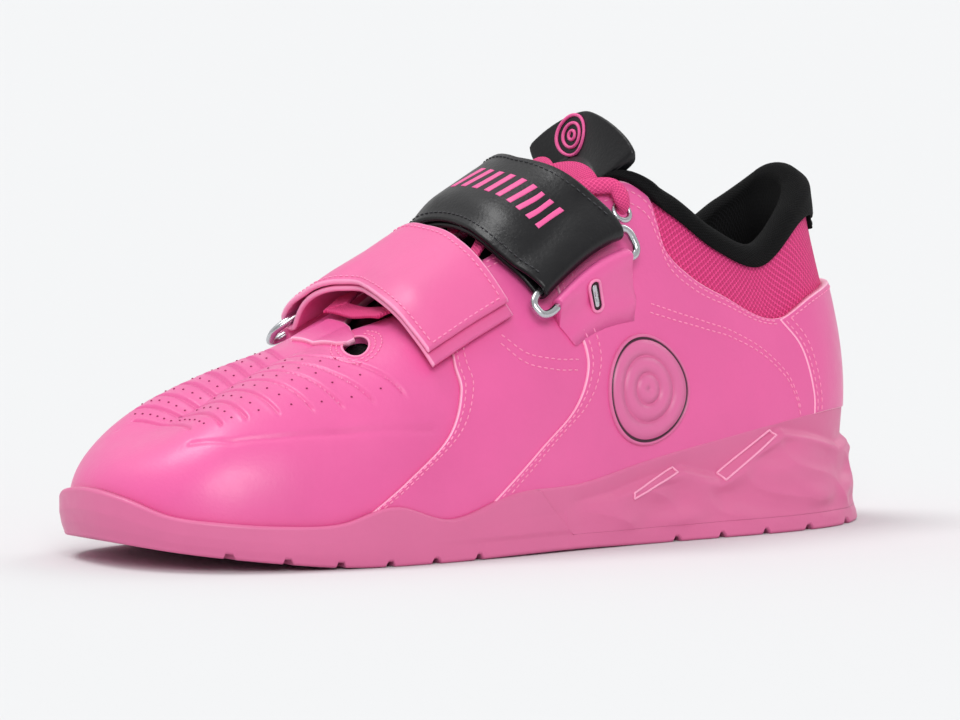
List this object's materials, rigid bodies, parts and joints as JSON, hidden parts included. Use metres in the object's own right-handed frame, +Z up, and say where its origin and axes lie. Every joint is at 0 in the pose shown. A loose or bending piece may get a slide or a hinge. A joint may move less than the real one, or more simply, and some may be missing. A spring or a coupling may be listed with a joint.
{
  "type": "weightlifting shoe",
  "caption": "Left weightlifting shoe in pink leather with a hard wedge heel, low padded collar, laces and two instep straps, each doubled back through a wire ring.",
  "frame": {"origin": "on the floor under the middle of the shoe's bounding box", "axes": "+X towards the toe, +Y to the outer side of the left shoe, +Z up"},
  "size_m": [0.2822, 0.1038, 0.1337],
  "materials": {
    "sole_pink": "matte moulded rubber",
    "pink_leather": "smooth semi-gloss leather",
    "pink_mesh": "woven mesh and lace",
    "black_leather": "soft black leather, low gloss",
    "black_fabric": "black knitted lining",
    "ring_steel": "bright wire"
  },
  "bodies": {
    "root": {"outsole": "sole_pink", "heel_wedge": "sole_pink", "insole": "black_fabric", "upper": "pink_leather", "mid_panel_lateral": "pink_leather", "mid_panel_medial": "pink_leather", "quarter_panel_lateral": "pink_leather", "quarter_panel_medial": "pink_leather", "heel_counter": "pink_leather", "heel_tab": "black_leather", "collar_lining": "black_fabric", "tongue": "black_leather", "laces": "pink_mesh", "strap_upper": "black_leather", "strap_lower": "pink_leather", "ring_upper": "ring_steel", "ring_lower": "ring_steel", "ring_keeper_upper": "pink_leather", "ring_keeper_lower": "pink_leather", "eyelet_lateral": "ring_steel", "eyelet_medial": "ring_steel", "side_badge": "sole_pink"}
  },
  "joints": []
}
